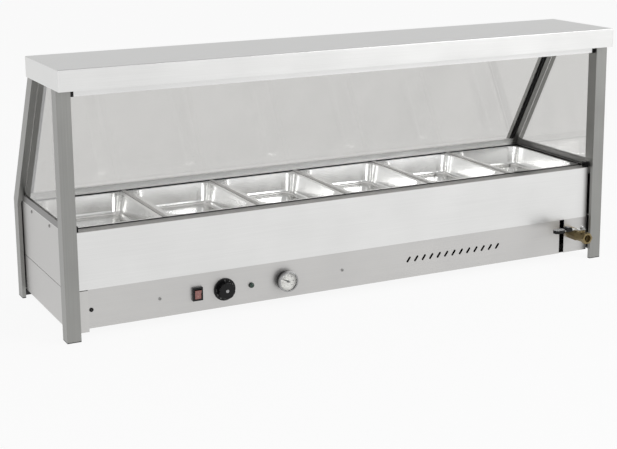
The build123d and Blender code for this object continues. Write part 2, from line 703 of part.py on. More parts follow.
def thermostat_body():
    half = THERMOSTAT / 2
    box = block(KNOB_X - half, KNOB_X + half, BEHIND_CONTROLS, BEHIND_CONTROLS + THERMOSTAT_DEPTH,
                CONTROL_Z - half, CONTROL_Z + half)
    box = fillet(box.edges().filter_by(Axis.Y), 3)
    return box - rod_y(KNOB_X, CONTROL_Y, BEHIND_CONTROLS + SHAFT_SEAT, CONTROL_Z, SHAFT_R + RUNNING)


def thermostat_shaft():
    return rod_y(KNOB_X, KNOB_FRONT + KNOB_FACE, BEHIND_CONTROLS + SHAFT_SEAT - SEAM, CONTROL_Z, SHAFT_R)


def thermostat_knob():
    """Skirt with a raised lobed grip."""
    seat = KNOB_FRONT + KNOB_HEIGHT
    skirt = rod_y(KNOB_X, seat, seat + KNOB_SKIRT, CONTROL_Z, KNOB_R)
    skirt = fillet(skirt.edges().group_by(Axis.Y)[0], 1.5)
    scoops = [loc * Circle(SCOOP_R) for loc in PolarLocations(KNOB_GRIP_R + SCOOP_OUT, KNOB_LOBES)]
    grip = facing(Circle(KNOB_GRIP_R) - scoops, KNOB_X, CONTROL_Z, KNOB_FRONT, seat + 1)
    grip = fillet(grip.edges().group_by(Axis.Y)[0], 1)
    bore = rod_y(KNOB_X, KNOB_FRONT + KNOB_FACE, CONTROL_Y, CONTROL_Z, SHAFT_R + PRESS)
    return skirt + grip - bore


def pilot_lamp_body():
    ring = rod_y(LAMP_X, CONTROL_Y - LAMP_RING, CONTROL_Y, CONTROL_Z, LAMP_RING_R)
    barrel = rod_y(LAMP_X, CONTROL_Y, CONTROL_Y + LAMP_BARREL, CONTROL_Z, LAMP_BARREL_R)
    bore = rod_y(LAMP_X, CONTROL_Y - 2 * LAMP_RING, CONTROL_Y + 2 * LAMP_RING, CONTROL_Z, LAMP_BORE_R)
    return ring + barrel - bore


def pilot_lamp_lens():
    seat = CONTROL_Y - LAMP_RING
    dome = rod_y(LAMP_X, seat - LAMP_RISE, seat, CONTROL_Z, LAMP_R)
    dome = fillet(dome.edges().group_by(Axis.Y)[0], LAMP_RISE * 0.7)
    foot = rod_y(LAMP_X, seat, CONTROL_Y + 2 * LAMP_RING - SEAM, CONTROL_Z, LAMP_BORE_R - 2 * RUNNING)
    return dome + foot


def thermometer_case():
    front = DIAL_FRONT + DIAL_LIP + DIAL_LENS
    floor = CONTROL_Y - DIAL_CASE
    cup = rod_y(DIAL_X, front, CONTROL_Y, CONTROL_Z, CASE_R - RUNNING)
    cup -= rod_y(DIAL_X, front - 1, floor, CONTROL_Z, CASE_R - DIAL_LIP)
    boss = rod_y(DIAL_X, DIAL_FACE + 1, floor, CONTROL_Z, CASE_R / 2)
    stem = rod_y(DIAL_X, CONTROL_Y, CONTROL_Y + FLANGE, CONTROL_Z, DIAL_STEM_R)
    return cup + boss + stem - rod_y(DIAL_X, DIAL_FACE, DIAL_FACE + 7, CONTROL_Z, SPINDLE_R + RUNNING)


def thermometer_bezel():
    back = DIAL_FRONT + DIAL_DEPTH
    ring = rod_y(DIAL_X, DIAL_FRONT, back, CONTROL_Z, DIAL_R)
    ring = fillet(ring.edges().group_by(Axis.Y)[0], 1.5)
    ring -= rod_y(DIAL_X, DIAL_FRONT - 1, back, CONTROL_Z, CASE_R - 2 * DIAL_LIP)
    return ring - rod_y(DIAL_X, DIAL_FRONT + DIAL_LIP, back + 1, CONTROL_Z, CASE_R)


def thermometer_lens():
    front = DIAL_FRONT + DIAL_LIP
    return rod_y(DIAL_X, front, front + DIAL_LENS, CONTROL_Z, CASE_R - RUNNING)


def thermometer_dial():
    disc = rod_y(DIAL_X, DIAL_FACE, DIAL_FACE + 1, CONTROL_Z, CASE_R - DIAL_LIP - RUNNING)
    return disc - rod_y(DIAL_X, DIAL_FACE - 1, DIAL_FACE + 2, CONTROL_Z, SPINDLE_R + RUNNING)


def thermometer_needle():
    """Pointer on its spindle."""
    blade = Polygon((-7, -1.3), (0, -1), (20, -0.4), (20, 0.4), (0, 1), (-7, 1.3), align=None)
    y = DIAL_FACE - 2.2
    pointer = facing(Rot(0, 0, NEEDLE_ANGLE) * blade, DIAL_X, CONTROL_Z, y, y + 0.8)
    hub = rod_y(DIAL_X, y - 0.6, y + 1.4, CONTROL_Z, 3)
    return pointer + hub + rod_y(DIAL_X, y, DIAL_FACE + 6.5, CONTROL_Z, SPINDLE_R)


def drain_pipe():
    """Pipe from the tank floor, turning forward through the tap plate into the valve."""
    top = TANK_FLOOR - SHEET
    end = VALVE_OUTLET + VALVE_LENGTH + 1
    points = [(VALVE_X, DRAIN_Y, top), (VALVE_X, DRAIN_Y, VALVE_Z), (VALVE_X, end, VALVE_Z)]
    path = FilletPolyline(*points, radius=PIPE_BEND)
    start = Plane(path @ 0, z_dir=path % 0)
    return sweep(start * Circle(PIPE_R), path) - sweep(start * Circle(PIPE_BORE), path)


def valve_socket():
    """Brass hexagon socket that joins the drain pipe to the valve, against the tap plate."""
    y0 = VALVE_OUTLET + VALVE_LENGTH
    ends = facing(RegularPolygon(VALVE_R, 6, major_radius=False), VALVE_X, VALVE_Z, y0, CONTROL_Y)
    return ends - rod_y(VALVE_X, y0 - 1, CONTROL_Y + 1, VALVE_Z, PIPE_R + RUNNING)


def valve_body():
    """Ball valve: hexagon ends, round middle and a packing gland on top."""
    y0 = VALVE_OUTLET
    y1 = VALVE_OUTLET + VALVE_LENGTH
    front = y0 + VALVE_FRONT_HEX
    rear = y1 - VALVE_REAR_HEX
    hexagon = RegularPolygon(VALVE_R, 6, major_radius=False)
    body = facing(hexagon, VALVE_X, VALVE_Z, y0, front)
    body += facing(hexagon, VALVE_X, VALVE_Z, rear, y1)
    body += rod_y(VALVE_X, front, rear, VALVE_Z, VALVE_R)
    body += rod_z(VALVE_X, VALVE_Y, VALVE_Z, GLAND_TOP, GLAND_R)
    body -= Pos(VALVE_X, VALVE_Y, VALVE_Z) * Sphere(BALL_R + 2 * RUNNING)
    body -= rod_y(VALVE_X, y0 - 1, y1 + 1, VALVE_Z, BALL_BORE)
    body -= rod_y(VALVE_X, y0 - 1, y0 + VALVE_SOCKET_DEPTH, VALVE_Z, VALVE_SOCKET_R)
    return body - rod_z(VALVE_X, VALVE_Y, VALVE_Z, GLAND_TOP + 1, STEM_R + RUNNING)


def valve_ball():
    """Ball turned shut: its bore lies across the pipe."""
    ball = Pos(VALVE_X, VALVE_Y, VALVE_Z) * Sphere(BALL_R)
    ball -= rod_x(VALVE_X - BALL_R, VALVE_X + BALL_R, VALVE_Y, VALVE_Z, BALL_BORE)
    return ball - rod_z(VALVE_X, VALVE_Y, VALVE_Z + BALL_BORE + 1, VALVE_Z + BALL_R + 1, STEM_R)


def valve_stem():
    return rod_z(VALVE_X, VALVE_Y, VALVE_Z + BALL_BORE + 1, LEVER_Z + LEVER_T + STEM_TOP, STEM_R)


def lever_bar(width, extra):
    """Cranked flat bar, pointing left when the valve is shut."""
    high = LEVER_Z + LEVER_CRANK
    under = [(LEVER_BACK, LEVER_Z), (-LEVER_STEP[0], LEVER_Z), (-LEVER_STEP[1], high), (-LEVER, high)]
    outline = [(x, z - extra) for x, z in under] + [(x, z + LEVER_T + extra) for x, z in reversed(under)]
    bar = extrude(Plane.XZ * Polygon(*outline, align=None), width / 2, both=True)
    return Pos(VALVE_X, VALVE_Y, 0) * bar


def valve_lever():
    bar = fillet(lever_bar(LEVER_W, 0).edges().filter_by(Axis.Z), LEVER_W / 2 - 2)
    return bar - rod_z(VALVE_X, VALVE_Y, LEVER_Z - 1, LEVER_Z + 9, STEM_R + RUNNING)


def valve_grip():
    """Black dipped end of the lever and its locking slide."""
    z = LEVER_Z + LEVER_CRANK + LEVER_T / 2
    end = VALVE_X - LEVER
    paddle = block(end - LEVER_T, end + GRIP_LENGTH, VALVE_Y - GRIP_W / 2, VALVE_Y + GRIP_W / 2,
                   z - GRIP_T / 2, z + GRIP_T / 2)
    paddle = fillet(paddle.edges().filter_by(Axis.Z), GRIP_W / 2 - 1)
    near, far = GRIP_SLIDE
    slide = block(VALVE_X - far, VALVE_X - near, VALVE_Y - SLIDE_W / 2, VALVE_Y + SLIDE_W / 2,
                  z - LEVER_T / 2 - 2, z + SLIDE_RISE)
    slide = fillet(slide.edges().group_by(Axis.Z)[-1].filter_by(Axis.Y), SLIDE_W / 2 - 1)
    hole = lever_bar(LEVER_W + 2 * RUNNING, RUNNING)
    return Compound(children=[paddle - hole, slide - hole])


def valve_nut():
    z = LEVER_Z + LEVER_T
    hexagon = RegularPolygon(STEM_NUT / 2, 6, major_radius=False)
    nut = Pos(VALVE_X, VALVE_Y, z) * extrude(hexagon, STEM_NUT_T)
    return nut - rod_z(VALVE_X, VALVE_Y, z - 1, z + STEM_NUT_T + 1, STEM_R + PRESS)


pieces = {
    "front_post_left": flip(front_post()),
    "front_post_right": front_post(),
    "rear_post_left": flip(rear_post()),
    "rear_post_right": rear_post(),
    "foot_caps": Compound(children=[cap for right in (foot_cap(POST_SETBACK, front_notch()),
                                                      foot_cap(REAR_FRONT, rear_notch()))
                                    for cap in (right, flip(right))]),
    "frame_rails": frame_rails(),
    "canopy_shell": canopy_shell(),
    "canopy_pan": canopy_pan(),
    "canopy_front_rail": canopy_front_rail(),
    "rear_glass_top_channel": leaning_channel(POST_TOP - CHANNEL_HEIGHT, POST_TOP,
                                              POST_TOP - CHANNEL_HEIGHT - 1, POST_TOP - CHANNEL_FLOOR),
    "rear_glass_channel": leaning_channel(COUNTER_Z, COUNTER_Z + CHANNEL_HEIGHT,
                                          COUNTER_Z + CHANNEL_FLOOR, COUNTER_Z + CHANNEL_HEIGHT + 1),
    "side_glass_channels": both_ends(side_channel()),
    "rear_glass": rear_glass(),
    "side_glass": both_ends(side_glass()),
    "rear_glass_seals": both_ends(rear_glass_seal()),
    "corner_blocks": both_ends(corner_block()),
    "counter_top": counter_top(),
    "pan_dividers": pan_dividers(),
    "water_tank": water_tank(),
    "upper_front_panel": folded_panel(-POST_IN, POST_IN - PANEL_SHORT,
                                      SEAM_Z + SEAM, UNDER_COUNTER, PANEL_Y),
    "control_panel": control_panel(),
    "end_strip": block(-RAIL_END, STRIP_RIGHT - FIT, PANEL_Y, PANEL_Y + SHEET,
                       BODY_BOTTOM - STRIP_DROP, SEAM_Z - SIDE_SEAM),
    "tap_plate": tap_plate(),
    "side_panels_upper": both_ends(side_panel(SEAM_Z, UNDER_COUNTER) - screw_holes()),
    "side_panels_lower": both_ends(side_panel(BODY_BOTTOM, SEAM_Z - SIDE_SEAM)),
    "rear_panel": rear_panel(),
    "bottom_cover": bottom_cover(),
    "heating_element": heating_element(),
    "element_fittings": element_fittings(),
    "thermostat_body": thermostat_body(),
    "temperature_probes": temperature_probes(),
    "thermostat_shaft": thermostat_shaft(),
    "thermostat_knob": thermostat_knob(),
    "switch_housing": switch_housing(),
    "switch_rocker": switch_rocker(),
    "pilot_lamp_body": pilot_lamp_body(),
    "pilot_lamp_lens": pilot_lamp_lens(),
    "thermometer_case": thermometer_case(),
    "thermometer_bezel": thermometer_bezel(),
    "thermometer_dial": thermometer_dial(),
    "thermometer_needle": thermometer_needle(),
    "thermometer_lens": thermometer_lens(),
    "terminal_block": terminal_block(),
    "cable_gland": cable_gland(),
    "drain_pipe": drain_pipe(),
    "valve_socket": valve_socket(),
    "valve_body": valve_body(),
    "valve_ball": valve_ball(),
    "valve_stem": valve_stem(),
    "valve_lever": valve_lever(),
    "valve_grip": valve_grip(),
    "valve_nut": valve_nut(),
    "panel_screws": panel_screws(),
    "corner_screw": screw(CORNER_SCREW[0], CONTROL_Y, CORNER_SCREW[1], (0, -1, 0), head_r=CORNER_HEAD_R),
}

ONE_PAN = pan()
for i in range(PANS):
    x = (i - (PANS - 1) / 2) * PITCH
    y = (OPENING_FRONT + OPENING_BACK) / 2
    pieces[f"pan_{i + 1}"] = Pos(x, y, UNDER_COUNTER + PAN_WALL) * ONE_PAN

# The origin is on the floor, under the middle of the whole object.
os.makedirs("parts", exist_ok=True)
for name, piece in pieces.items():
    export_step(Pos(0, -MIDDLE_Y, 0) * piece, f"parts/{name}.step")
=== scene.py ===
"""A food warmer cabinet: six lift-out pans under a steel shelf and sloped glass, on a pale
studio floor."""
import json
import math

import bmesh
import bpy
from mathutils import Matrix, Vector


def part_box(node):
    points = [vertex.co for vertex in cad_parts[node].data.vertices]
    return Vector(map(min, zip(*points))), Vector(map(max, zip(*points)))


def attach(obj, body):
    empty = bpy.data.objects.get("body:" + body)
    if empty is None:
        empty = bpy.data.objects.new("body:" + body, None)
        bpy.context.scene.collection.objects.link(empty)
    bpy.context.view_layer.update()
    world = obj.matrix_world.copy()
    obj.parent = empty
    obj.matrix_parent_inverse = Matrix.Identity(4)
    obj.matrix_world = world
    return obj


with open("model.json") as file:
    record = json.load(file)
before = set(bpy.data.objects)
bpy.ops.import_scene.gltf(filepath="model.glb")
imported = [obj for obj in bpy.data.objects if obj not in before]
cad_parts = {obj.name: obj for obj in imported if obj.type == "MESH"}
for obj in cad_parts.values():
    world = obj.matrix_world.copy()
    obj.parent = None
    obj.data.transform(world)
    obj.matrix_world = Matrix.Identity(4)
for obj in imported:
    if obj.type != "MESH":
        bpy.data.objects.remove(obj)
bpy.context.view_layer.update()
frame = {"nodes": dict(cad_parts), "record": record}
MM = 0.001


def linear(colour):
    """An sRGB hex colour, such as "c8c8c6", as the linear RGBA that a shader takes."""
    parts = [int(colour[i:i + 2], 16) / 255 for i in (0, 2, 4)]
    return (*[c / 12.92 if c <= 0.04045 else ((c + 0.055) / 1.055) ** 2.4 for c in parts], 1.0)


def add(tree, kind, inputs=None, **settings):
    """Adds a node with its settings, and gives each named input a value or a link."""
    node = tree.nodes.new(kind)
    for name, value in settings.items():
        setattr(node, name, value)
    for socket, value in (inputs or {}).items():
        if isinstance(value, bpy.types.NodeSocket):
            tree.links.new(value, node.inputs[socket])
        else:
            node.inputs[socket].default_value = value
    return node


def new_material(name):
    """An empty material and its tree, ready for the nodes."""
    material = bpy.data.materials.new(name)
    material.use_nodes = True
    material.node_tree.nodes.clear()
    return material, material.node_tree


def stretched_noise(tree, size, detail=2.0):
    """Noise whose features are as long as size says, in metres along X, Y and Z."""
    place = add(tree, "ShaderNodeTexCoord").outputs["Object"]
    scaled = add(tree, "ShaderNodeMapping", {"Vector": place, "Scale": [1 / s for s in size]})
    noise = add(tree, "ShaderNodeTexNoise", {
        "Vector": scaled.outputs["Vector"], "Scale": 1.0, "Detail": detail})
    return noise.outputs["Fac"]


# Belt-ground lines are 0.1 mm apart. They are drawn 1 mm apart so that they show.
GRIND_LENGTH = 160 * MM
GRIND_SPACING = 1 * MM


def brushed_steel(name, dark, light, grain, roughness=(0.3, 0.4)):
    """Brushed 304 stainless sheet: belt-ground lines along its grain, a little more and less
    glossy over patches as wide as a hand, where it has been handled."""
    size = [GRIND_LENGTH if axis == grain else GRIND_SPACING for axis in "XYZ"]
    hand_width = 180 * MM
    least, most = 0.3, 1.7       # what the two noises add up to
    material, tree = new_material(name)
    lines = stretched_noise(tree, size, 3.0)
    patches = stretched_noise(tree, [hand_width] * 3)
    both = add(tree, "ShaderNodeMath", {0: lines, 1: patches}, operation="ADD").outputs["Value"]
    tone = add(tree, "ShaderNodeMapRange", {"Value": both, "From Min": least, "From Max": most})
    gloss = add(tree, "ShaderNodeMapRange", {
        "Value": both, "From Min": least, "From Max": most,
        "To Min": roughness[0], "To Max": roughness[1]})
    colour = add(tree, "ShaderNodeMix", {
        "Factor": tone.outputs["Result"], "A": linear(dark), "B": linear(light)},
        data_type="RGBA")
    bump = add(tree, "ShaderNodeBump", {"Height": lines, "Strength": 0.02, "Distance": 0.1 * MM})
    steel = add(tree, "ShaderNodeBsdfPrincipled", {
        "Base Color": colour.outputs["Result"],
        "Metallic": 1.0,
        "Roughness": gloss.outputs["Result"],
        "Normal": bump.outputs["Normal"],
    })
    add(tree, "ShaderNodeOutputMaterial", {"Surface": steel.outputs["BSDF"]})
    return material


def counter_steel():
    """Brushed stainless counter: bright beside and behind the pans, and painted a darker grey on
    the front ledge, as painted shade."""
    pans_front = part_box("pan_1")[0][1]
    material, tree = new_material("brushed_stainless_counter")
    lines = stretched_noise(tree, [GRIND_LENGTH, GRIND_SPACING, GRIND_SPACING], 3.0)
    place = add(tree, "ShaderNodeTexCoord").outputs["Object"]
    depth = add(tree, "ShaderNodeSeparateXYZ", {0: place}).outputs["Y"]
    ledge = add(tree, "ShaderNodeMath", {0: depth, 1: pans_front}, operation="LESS_THAN")
    bright = add(tree, "ShaderNodeMix", {
        "Factor": lines, "A": linear("dadad9"), "B": linear("e8e8e7")}, data_type="RGBA")
    # The front ledge's darker grey is painted shade.
    ledge_painted_shade = add(tree, "ShaderNodeMix", {
        "Factor": lines, "A": linear("9a9997"), "B": linear("adacaa")}, data_type="RGBA")
    colour = add(tree, "ShaderNodeMix", {
        "Factor": ledge.outputs["Value"],
        "A": bright.outputs["Result"],
        "B": ledge_painted_shade.outputs["Result"],
    }, data_type="RGBA")
    gloss = add(tree, "ShaderNodeMapRange", {"Value": lines, "To Min": 0.3, "To Max": 0.42})
    steel = add(tree, "ShaderNodeBsdfPrincipled", {
        "Base Color": colour.outputs["Result"],
        "Metallic": 1.0,
        "Roughness": gloss.outputs["Result"],
    })
    add(tree, "ShaderNodeOutputMaterial", {"Surface": steel.outputs["BSDF"]})
    return material


def polished_steel():
    """Deep-drawn stainless pans: bright, with the faint draw marks that soften what they mirror
    and the scuffs of washing."""
    mark_length, mark_spacing, scuff = 30 * MM, 4 * MM, 70 * MM
    material, tree = new_material("polished_drawn_stainless")
    marks = stretched_noise(tree, [mark_length, mark_length, mark_spacing], 3.0)
    scuffs = stretched_noise(tree, [scuff] * 3, 4.0)
    bump = add(tree, "ShaderNodeBump", {"Height": marks, "Strength": 0.05, "Distance": 0.3 * MM})
    colour = add(tree, "ShaderNodeMix", {
        "Factor": scuffs, "A": linear("e2e2e1"), "B": linear("f2f2f1")}, data_type="RGBA")
    gloss = add(tree, "ShaderNodeMapRange", {"Value": scuffs, "To Min": 0.14, "To Max": 0.24})
    steel = add(tree, "ShaderNodeBsdfPrincipled", {
        "Base Color": colour.outputs["Result"],
        "Metallic": 1.0,
        "Roughness": gloss.outputs["Result"],
        "Normal": bump.outputs["Normal"],
    })
    add(tree, "ShaderNodeOutputMaterial", {"Surface": steel.outputs["BSDF"]})
    return material


def clear_glass(name, dark, light):
    """Float glass: smooth and faintly grey, uneven where a cloth has wiped it. Lamps shine
    through it, so that the pans or the dial behind it are lit."""
    wipe_width, wipe_length = 90 * MM, 220 * MM
    material, tree = new_material(name)
    smear = stretched_noise(tree, [wipe_width, wipe_width, wipe_length], 2.0)
    colour = add(tree, "ShaderNodeMix", {
        "Factor": smear, "A": linear(dark), "B": linear(light)}, data_type="RGBA")
    glass = add(tree, "ShaderNodeBsdfPrincipled", {
        "Base Color": colour.outputs["Result"],
        "Roughness": 0.0,
        "IOR": 1.52,
        "Transmission Weight": 1.0,
    })
    through = add(tree, "ShaderNodeBsdfTransparent", {"Color": linear("eeefee")})
    path = add(tree, "ShaderNodeLightPath")
    both = add(tree, "ShaderNodeMixShader", {
        "Fac": path.outputs["Is Shadow Ray"],
        1: glass.outputs["BSDF"],
        2: through.outputs["BSDF"],
    })
    add(tree, "ShaderNodeOutputMaterial", {"Surface": both.outputs["Shader"]})
    return material


def moulded_plastic(name, dark, light, roughness, sheen=0.5):
    """Injection-moulded plastic or rubber: a fine spark-eroded texture of about 0.5 mm, drawn
    at 1 mm so that it shows, and slightly cloudy in tone and gloss."""
    spark, cloud_size = 1 * MM, 12 * MM
    material, tree = new_material(name)
    texture = stretched_noise(tree, [spark] * 3, 2.0)
    cloud = stretched_noise(tree, [cloud_size] * 3, 2.0)
    bump = add(tree, "ShaderNodeBump", {"Height": texture, "Strength": 0.1, "Distance": 0.1 * MM})
    colour = add(tree, "ShaderNodeMix", {
        "Factor": cloud, "A": linear(dark), "B": linear(light)}, data_type="RGBA")
    gloss = add(tree, "ShaderNodeMapRange", {
        "Value": cloud, "To Min": roughness - 0.06, "To Max": roughness + 0.06})
    plastic = add(tree, "ShaderNodeBsdfPrincipled", {
        "Base Color": colour.outputs["Result"],
        "Roughness": gloss.outputs["Result"],
        "IOR": 1.5,
        "Specular IOR Level": sheen,
        "Normal": bump.outputs["Normal"],
    })
    add(tree, "ShaderNodeOutputMaterial", {"Surface": plastic.outputs["BSDF"]})
    return material


def cast_metal(name, dark, light, roughness, grit):
    """Cast, rolled or plated metal: a grain of the given size, and duller where it is dark."""
    tarnish_patch = 9 * MM
    material, tree = new_material(name)
    grain = stretched_noise(tree, [grit] * 3, 4.0)
    tarnish = stretched_noise(tree, [tarnish_patch] * 3, 3.0)
    bump = add(tree, "ShaderNodeBump", {"Height": grain, "Strength": 0.2, "Distance": 0.2 * MM})
    colour = add(tree, "ShaderNodeMix", {
        "Factor": tarnish, "A": linear(dark), "B": linear(light)}, data_type="RGBA")
    gloss = add(tree, "ShaderNodeMapRange", {
        "Value": tarnish, "To Min": roughness + 0.1, "To Max": roughness - 0.05})
    metal = add(tree, "ShaderNodeBsdfPrincipled", {
        "Base Color": colour.outputs["Result"],
        "Metallic": 1.0,
        "Roughness": gloss.outputs["Result"],
        "Normal": bump.outputs["Normal"],
    })
    add(tree, "ShaderNodeOutputMaterial", {"Surface": metal.outputs["BSDF"]})
    return material


def printed_ink(name, dark, light, roughness=0.6):
    """Screen-printed or painted surface, with the slight mottle of a thin film."""
    mottle_size = 3 * MM
    material, tree = new_material(name)
    mottle = stretched_noise(tree, [mottle_size] * 3, 2.0)
    colour = add(tree, "ShaderNodeMix", {
        "Factor": mottle, "A": linear(dark), "B": linear(light)}, data_type="RGBA")
    gloss = add(tree, "ShaderNodeMapRange", {
        "Value": mottle, "To Min": roughness - 0.05, "To Max": roughness + 0.05})
    ink = add(tree, "ShaderNodeBsdfPrincipled", {
        "Base Color": colour.outputs["Result"],
        "Roughness": gloss.outputs["Result"],
        "IOR": 1.5,
    })
    add(tree, "ShaderNodeOutputMaterial", {"Surface": ink.outputs["BSDF"]})
    return material


def lens_plastic(name, dark, light):
    """Acrylic over a lamp that is off: deep in colour, a little uneven, with a glossy skin."""
    cloud_size = 5 * MM
    material, tree = new_material(name)
    depth = stretched_noise(tree, [cloud_size] * 3, 2.0)
    colour = add(tree, "ShaderNodeMix", {
        "Factor": depth, "A": linear(dark), "B": linear(light)}, data_type="RGBA")
    gloss = add(tree, "ShaderNodeMapRange", {"Value": depth, "To Min": 0.12, "To Max": 0.2})
    acrylic = add(tree, "ShaderNodeBsdfPrincipled", {
        "Base Color": colour.outputs["Result"],
        "Roughness": gloss.outputs["Result"],
        "IOR": 1.49,
        "Coat Weight": 0.4,
    })
    add(tree, "ShaderNodeOutputMaterial", {"Surface": acrylic.outputs["BSDF"]})
    return material


finishes = {
    "brushed_steel": brushed_steel("brushed_stainless_sheet", "d6d6d5", "e6e6e5", "X"),
    # The tube is painted darker than the sheet: painted shade, for the darker reflections of its
    # upright grain.
    "post_steel": brushed_steel("brushed_stainless_tube", "888886", "a0a09d", "Z", (0.3, 0.42)),
    "grey_steel": brushed_steel(
        "brushed_stainless_body_sheet", "bbbab9", "cbcac8", "X", (0.34, 0.46)),
    "plain_steel": brushed_steel("mill_finish_stainless", "8f8f8e", "a9a9a7", "X", (0.4, 0.5)),
    "polished_steel": polished_steel(),
    "clear_glass": clear_glass("float_glass", "d0cfcd", "d8d7d5"),
    "black_rubber": moulded_plastic("black_glazing_rubber", "151515", "1e1e1e", 0.75, 0.3),
    "black_plastic": moulded_plastic("black_phenolic", "080809", "111113", 0.28, 0.24),
    "grey_plastic": moulded_plastic("grey_nylon", "3c3c3c", "4a4a4a", 0.6),
    "red_rocker": lens_plastic("smoked_red_acrylic", "74443e", "a06c66"),
    "green_lens": lens_plastic("dark_green_acrylic", "05241a", "0b3a2b"),
    "dial_white": printed_ink("white_dial_enamel", "e6e5e0", "f0efeb", 0.5),
    "needle_black": printed_ink("black_needle_paint", "121214", "1a1a1c", 0.5),
    "bezel_steel": cast_metal("rolled_bezel_steel", "8c8c8c", "b4b4b4", 0.25, 1.5 * MM),
    "cream_plastic": moulded_plastic("cream_polyamide", "c9bf9c", "d8cfae", 0.5),
    "brass": cast_metal("dull_cast_brass", "6c5f44", "978865", 0.45, 1.2 * MM),
    "chromed_brass": cast_metal("chromed_brass", "b8b8b8", "dcdcdc", 0.12, 2 * MM),
    "lever_steel": cast_metal("zinc_plated_steel", "8c8c8a", "b4b4b2", 0.35, 1.5 * MM),
    "dark_screw": cast_metal("blackened_steel", "161616", "2a2a2a", 0.4, 1.5 * MM),
}
# Pieces whose surface differs a little from the rest of their slot: most by their own colour, the
# counter's darker front ledge by painted shade, and the rear glass channel's lighter tone by painted
# light.
own_finishes = {
    "counter_top": counter_steel(),
    "side_glass_channels": brushed_steel(
        "folded_channel_steel", "7c7b7a", "8e8d8c", "Y", (0.34, 0.44)),
    # The channel is painted lighter than its steel: painted light, against the shade it reflects.
    "rear_glass_channel": brushed_steel(
        "folded_channel_painted_light", "f0f0ef", "f8f8f7", "X", (0.5, 0.62)),
    "thermometer_lens": clear_glass("instrument_glass", "f6f6f6", "fcfcfc"),
    "panel_screws": cast_metal("dull_zinc_screw", "8a8a88", "a6a6a4", 0.42, 1.5 * MM),
    "end_strip": brushed_steel("end_strip_steel", "bfbebc", "cccbc9", "Z", (0.34, 0.46)),
}
dial_ink = printed_ink("black_dial_ink", "2c2c2e", "3c3c3e", 0.55)
knob_ink = printed_ink("worn_knob_ink", "7c7c7a", "969694", 0.6)
rocker_ink = printed_ink("pale_rocker_ink", "b8968e", "c8a8a0", 0.55)
# Dark grey fill of the screw recesses: painted shade.
recess_shade = printed_ink("painted_screw_recess_shade", "444443", "525251", 0.5)
for row in frame["record"]["subparts"]:
    mesh = frame["nodes"][row["node"]].data
    mesh.materials.clear()
    mesh.materials.append(own_finishes.get(row["node"], finishes[row["material_slot"]]))


# A drawing seen from the front of the cabinet: its X is the cabinet's X, its Y is up, and its
# Z comes towards the user.
FACING = Matrix(((1, 0, 0, 0), (0, 0, -1, 0), (0, 1, 0, 0), (0, 0, 0, 1)))
# Print and engraving are this thick, half of it above their surface: more than real, to show.
INK = 0.12 * MM


def finished(name, shape, material, body="cabinet"):
    """Makes a new piece of the shape, with its material and the body that it moves with."""
    bmesh.ops.remove_doubles(shape, verts=shape.verts, dist=0.001 * MM)
    bmesh.ops.recalc_face_normals(shape, faces=shape.faces)
    data = bpy.data.meshes.new(name)
    shape.to_mesh(data)
    shape.free()
    data.materials.append(material)
    piece = bpy.data.objects.new(name, data)
    bpy.context.scene.collection.objects.link(piece)
    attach(piece, body)
    return piece


def at(x, y, z):
    """A move to a place."""
    return Matrix.Translation((x, y, z))


def turned(degrees, axis="Z"):
    """A turn about an axis through the origin."""
    return Matrix.Rotation(math.radians(degrees), 4, axis)


def bar(shape, matrix, width, height, depth):
    """Adds a plain bar, centred on the matrix."""
    size = Matrix.Diagonal((width, height, depth, 1))
    bmesh.ops.create_cube(shape, size=1.0, matrix=matrix @ size)


def round_edges(shape, radius):
    """Rounds every edge of the shape."""
    bmesh.ops.bevel(shape, geom=shape.edges[:], offset=radius, segments=2, profile=0.5,
                    affect="EDGES", material=-1)


def words(shape, text, matrix, height):
    """Adds raised figures of the given height, centred on the matrix."""
    curve = bpy.data.curves.new("figures", "FONT")
    curve.body = text
    curve.align_x = "CENTER"
    curve.align_y = "CENTER"
    curve.resolution_u = 2
    curve.extrude = INK / height / 2
    holder = bpy.data.objects.new("figures", curve)
    bpy.context.scene.collection.objects.link(holder)
    seen = holder.evaluated_get(bpy.context.evaluated_depsgraph_get())
    figures = bpy.data.meshes.new_from_object(seen)
    figures.transform(matrix @ Matrix.Scale(height, 4))
    shape.from_mesh(figures)
    bpy.data.objects.remove(holder)
    bpy.data.curves.remove(curve)
    bpy.data.meshes.remove(figures)


def middle(node):
    """The middle of a node's box."""
    low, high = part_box(node)
    return (Vector(low) + Vector(high)) / 2


def thermometer_print():
    """Scale of the dial thermometer, 0 to 120 degrees over three quarters of a turn."""
    hottest, tick_step, first_angle, sweep = 120, 2, 225, 270
    margin, figures_in, figure_height = 2 * MM, 10.5 * MM, 4.6 * MM
    unit_down, unit_height = 12 * MM, 4 * MM
    low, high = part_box("thermometer_dial")
    centre = middle("thermometer_dial")
    radius = (high[0] - low[0]) / 2
    face = at(centre.x, low[1], centre.z) @ FACING
    shape = bmesh.new()
    for degree in range(0, hottest + tick_step, tick_step):
        turn = turned(first_angle - degree * sweep / hottest)
        length, width = (4.2 * MM, 0.55 * MM) if degree % 10 == 0 else (2.2 * MM, 0.25 * MM)
        tick = face @ turn @ at(radius - margin - length / 2, 0, 0)
        bar(shape, tick, length, width, INK)
        if degree % 20 == 0:
            upright = face @ turn @ at(radius - figures_in, 0, 0) @ turn.inverted()
            words(shape, str(degree), upright, figure_height)
    words(shape, "\u00b0C", face @ at(0, -unit_down, 0), unit_height)
    finished("thermometer_print", shape, dial_ink)


